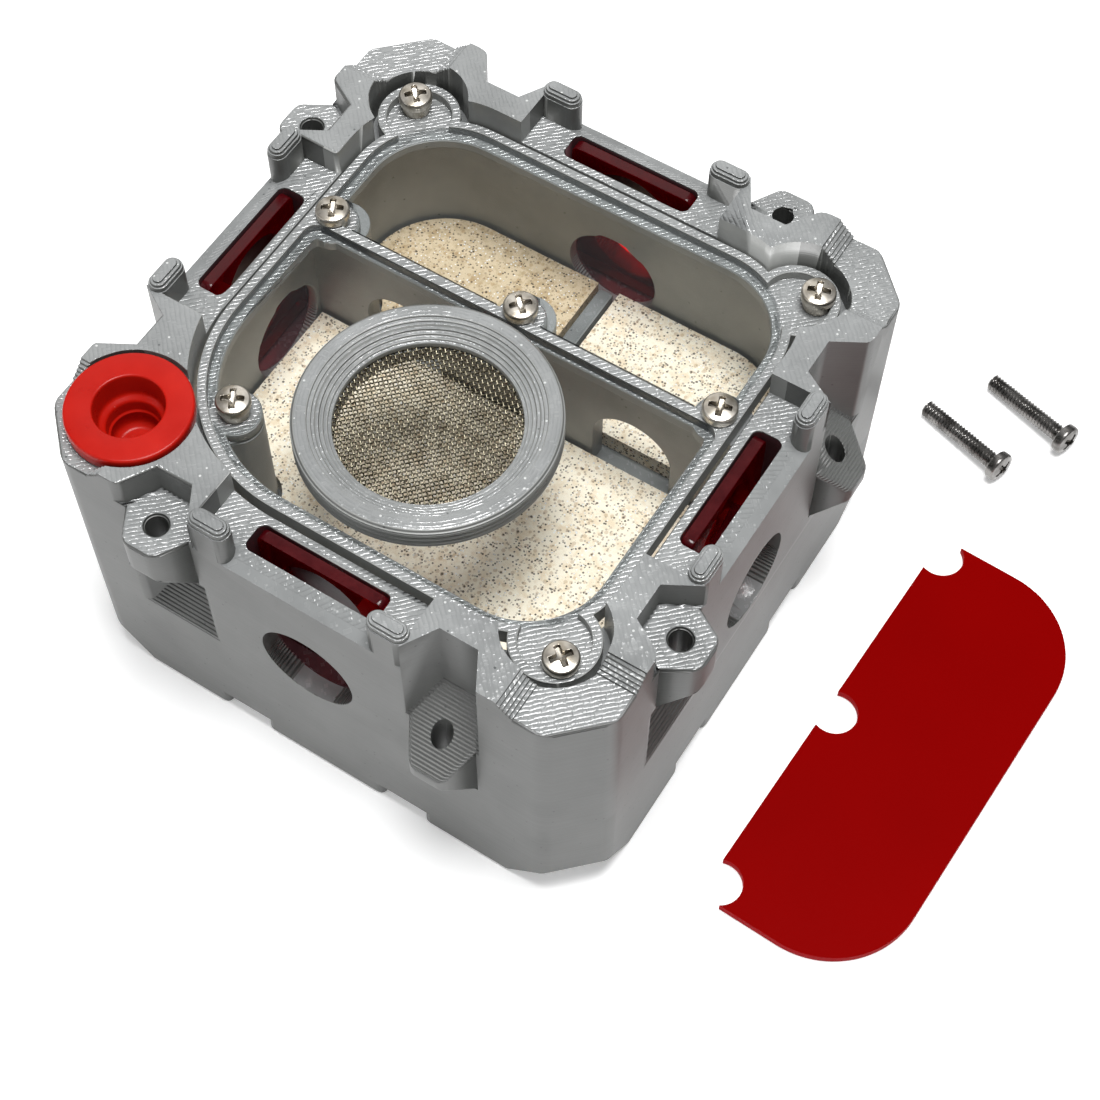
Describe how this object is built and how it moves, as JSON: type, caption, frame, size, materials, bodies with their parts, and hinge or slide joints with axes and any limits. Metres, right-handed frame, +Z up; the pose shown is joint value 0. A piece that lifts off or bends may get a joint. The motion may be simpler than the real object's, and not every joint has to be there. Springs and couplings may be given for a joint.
{
  "type": "ant habitat",
  "caption": "Square ant habitat with two windowed nests over a water tank, sliding gates, mesh vent, filler plug, dark cover and joining ears.",
  "frame": {"origin": "centre of the housing's base, on the surface it stands on", "axes": "+X to the right wall (beside the loose cover), +Y to the back wall, +Z up; the filler plug is at the front left corner"},
  "size_m": [0.0911, 0.08, 0.037],
  "materials": {
    "printed": "layered satin",
    "clear_sheet": "clear polished",
    "gate_sheet": "clear polished",
    "cover_sheet": "smooth satin",
    "silicone": "smooth",
    "woven_mesh": "fine woven wire",
    "screw_metal": "bright plated",
    "thread_metal": "dark plated thread",
    "sand": "fine sand",
    "sand_damp": "fine damp sand",
    "wick_felt": "felt"
  },
  "bodies": {
    "housing": {"tank_shell": "printed", "body_shell": "printed", "divider_wall": "printed", "joining_ears": "printed", "lid_frame": "printed", "panel_front": "clear_sheet", "panel_back": "clear_sheet", "corner_screws": "screw_metal", "divider_screws": "screw_metal", "side_screw": "screw_metal", "plate_front": "sand", "plate_back_left": "sand_damp", "plate_back_right": "sand", "wicks": "wick_felt"},
    "vent": {"vent_ring": "printed", "vent_mesh": "woven_mesh", "mesh_retainer": "printed"},
    "plug": {"filler_plug": "silicone"},
    "front_gate": {"gate_front": "gate_sheet"},
    "right_gate": {"gate_right": "gate_sheet"},
    "back_gate": {"gate_back": "gate_sheet"},
    "left_gate": {"gate_left": "gate_sheet"},
    "cover": {"dark_cover": "cover_sheet"},
    "spares": {"spare_screws": "thread_metal"}
  },
  "joints": [
    {"name": "front_gate_slide", "type": "slide", "parent": "housing", "child": "front_gate", "axis": [0, 0, 1], "range_m": [0, 0.018]},
    {"name": "right_gate_slide", "type": "slide", "parent": "housing", "child": "right_gate", "axis": [0, 0, 1], "range_m": [0, 0.018]},
    {"name": "back_gate_slide", "type": "slide", "parent": "housing", "child": "back_gate", "axis": [0, 0, 1], "range_m": [0, 0.018]},
    {"name": "left_gate_slide", "type": "slide", "parent": "housing", "child": "left_gate", "axis": [0, 0, 1], "range_m": [0, 0.018]},
    {"name": "plug_lift", "type": "slide", "parent": "housing", "child": "plug", "axis": [0, 0, 1], "range_m": [0, 0.012]},
    {"name": "vent_lift", "type": "slide", "parent": "housing", "child": "vent", "axis": [0, 0, 1], "range_m": [0, 0.01]},
    {"name": "cover_lift", "type": "slide", "parent": "housing", "child": "cover", "axis": [0, 0, 1], "range_m": [0, 0.05]},
    {"name": "spares_lift", "type": "slide", "parent": "housing", "child": "spares", "axis": [0, 0, 1], "range_m": [0, 0.03]}
  ]
}
